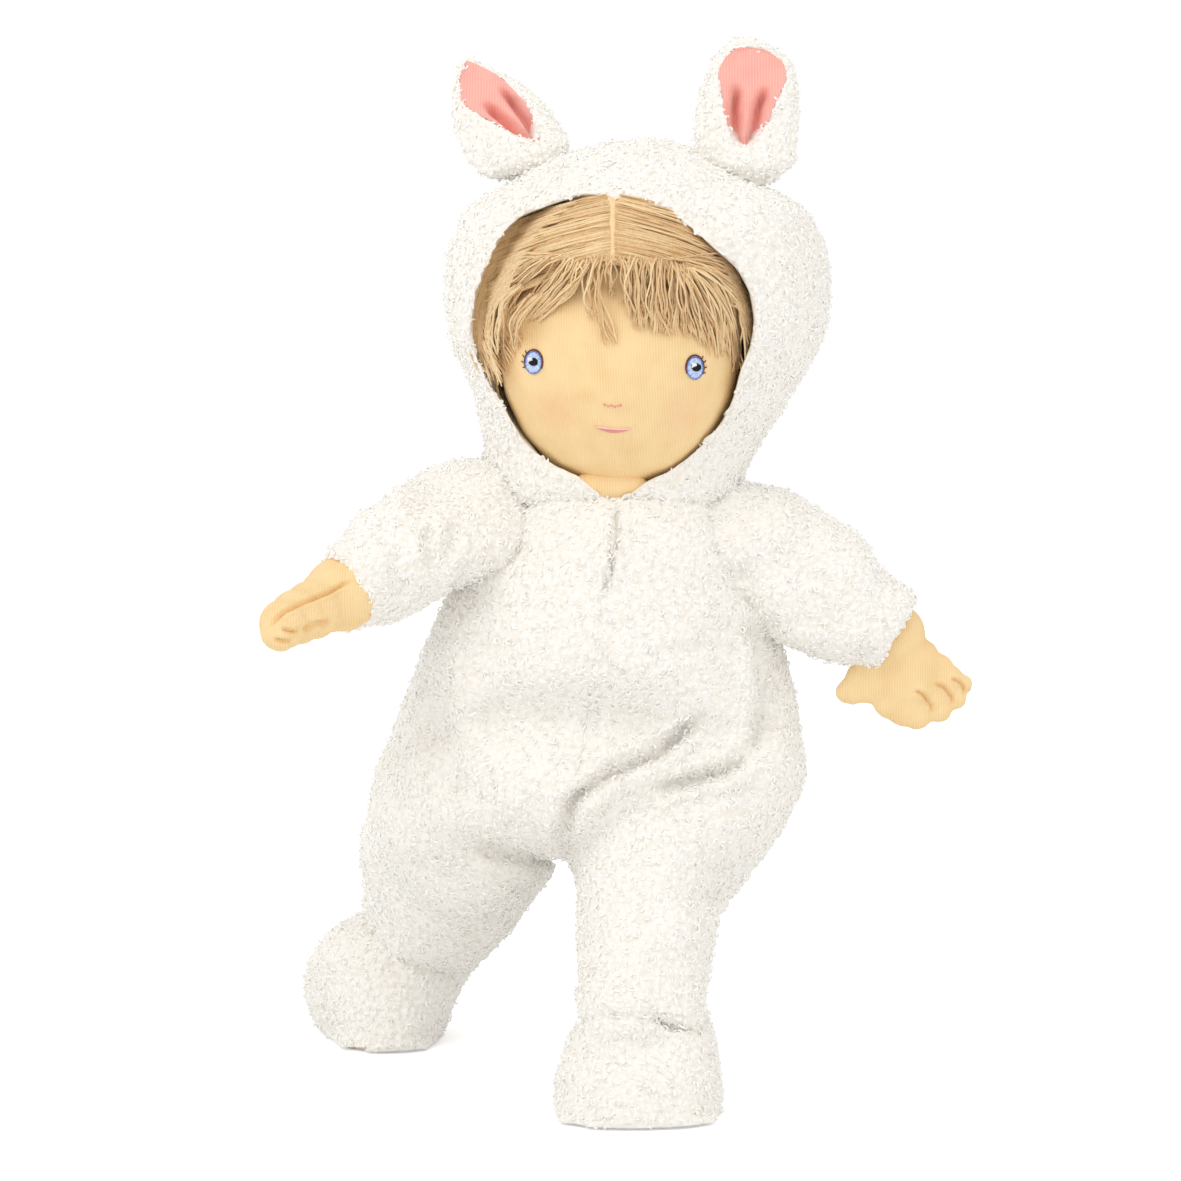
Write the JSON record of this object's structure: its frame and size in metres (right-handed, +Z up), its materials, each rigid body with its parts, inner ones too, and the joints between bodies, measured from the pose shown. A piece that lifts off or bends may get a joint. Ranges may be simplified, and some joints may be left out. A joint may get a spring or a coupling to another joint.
{
  "type": "rag doll",
  "caption": "Soft cloth doll with yarn hair and embroidered face in a plush hooded suit with long ears, standing in mid-stride; head, arms, legs and ears move.",
  "frame": {"origin": "on the floor under the middle of the doll's bounding box", "axes": "+Z up, -Y the way the doll faces, +X to the doll's left"},
  "size_m": [0.2488, 0.193, 0.3731],
  "materials": {
    "plush": "matte",
    "jersey": "matte",
    "wool_stuffing": "matte",
    "yarn": "matte",
    "velour": "matte",
    "blue_embroidery": "matte",
    "black_embroidery": "matte",
    "pink_embroidery": "matte",
    "thread": "matte",
    "tape": "matte",
    "sole_cloth": "matte"
  },
  "bodies": {
    "torso": {"suit_body": "plush", "placket_flap": "jersey", "loop_tape": "tape", "hook_tape": "tape", "torso_skin": "jersey", "torso_stuffing": "wool_stuffing"},
    "neck": {"neck_stuffing": "jersey", "neck_tie": "thread"},
    "head": {"head_skin": "jersey", "head_stuffing": "wool_stuffing", "hair": "yarn", "fringe": "yarn", "left_eye": "blue_embroidery", "right_eye": "blue_embroidery", "left_pupil": "black_embroidery", "right_pupil": "black_embroidery", "nose_stitch": "pink_embroidery", "mouth_stitch": "pink_embroidery", "hood": "plush"},
    "left_ear": {"left_ear": "plush", "left_ear_lining": "velour"},
    "left_shoulder": {"left_arm_gather": "jersey"},
    "left_arm": {"left_sleeve": "plush", "left_arm_skin": "jersey", "left_arm_stuffing": "wool_stuffing", "left_wrist_tie": "thread", "left_hand": "jersey"},
    "left_leg": {"left_leg_gather": "jersey", "left_trouser": "plush", "left_leg_skin": "jersey", "left_leg_stuffing": "wool_stuffing", "left_foot_stuffing": "wool_stuffing", "left_bootie": "plush", "left_sole": "sole_cloth"},
    "right_ear": {"right_ear": "plush", "right_ear_lining": "velour"},
    "right_shoulder": {"right_arm_gather": "jersey"},
    "right_arm": {"right_sleeve": "plush", "right_arm_skin": "jersey", "right_arm_stuffing": "wool_stuffing", "right_wrist_tie": "thread", "right_hand": "jersey"},
    "right_leg": {"right_leg_gather": "jersey", "right_trouser": "plush", "right_leg_skin": "jersey", "right_leg_stuffing": "wool_stuffing", "right_foot_stuffing": "wool_stuffing", "right_bootie": "plush", "right_sole": "sole_cloth"}
  },
  "joints": [
    {"name": "head_turn", "type": "hinge", "parent": "torso", "child": "neck", "pos_m": [0.00022, -0.02458, 0.214], "axis": [0, 0, 1], "range_deg": [-40, 40]},
    {"name": "head_nod", "type": "hinge", "parent": "neck", "child": "head", "pos_m": [0.00022, -0.02458, 0.214], "axis": [-1, 0, 0], "range_deg": [-10, 6]},
    {"name": "left_shoulder_swing", "type": "hinge", "parent": "torso", "child": "left_shoulder", "pos_m": [0.03527, -0.0209, 0.194], "axis": [-1, 0, 0], "range_deg": [-25, 40]},
    {"name": "right_shoulder_swing", "type": "hinge", "parent": "torso", "child": "right_shoulder", "pos_m": [-0.03973, -0.0209, 0.194], "axis": [-1, 0, 0], "range_deg": [-3, 45]},
    {"name": "left_arm_raise", "type": "hinge", "parent": "left_shoulder", "child": "left_arm", "pos_m": [0.03527, -0.0209, 0.194], "axis": [0, -1, 0], "range_deg": [-2, 16]},
    {"name": "right_arm_raise", "type": "hinge", "parent": "right_shoulder", "child": "right_arm", "pos_m": [-0.03973, -0.0209, 0.194], "axis": [0, 1, 0], "range_deg": [-2, 12]},
    {"name": "left_leg_swing", "type": "hinge", "parent": "torso", "child": "left_leg", "pos_m": [0.02372, -0.00658, 0.116], "axis": [-1, 0, 0], "range_deg": [-45, 60]},
    {"name": "right_leg_swing", "type": "hinge", "parent": "torso", "child": "right_leg", "pos_m": [-0.04728, -0.00658, 0.116], "axis": [-1, 0, 0], "range_deg": [-8, 125]},
    {"name": "left_ear_flop", "type": "hinge", "parent": "head", "child": "left_ear", "pos_m": [0.04477, -0.02845, 0.32775], "axis": [0.9962, -0.0091, -0.0867], "range_deg": [-8, 45], "stiffness_Nm_per_rad": 0.02},
    {"name": "right_ear_flop", "type": "hinge", "parent": "head", "child": "right_ear", "pos_m": [-0.02886, -0.02201, 0.33033], "axis": [0.8387, 0.2215, 0.4976], "range_deg": [-8, 45], "stiffness_Nm_per_rad": 0.02}
  ]
}
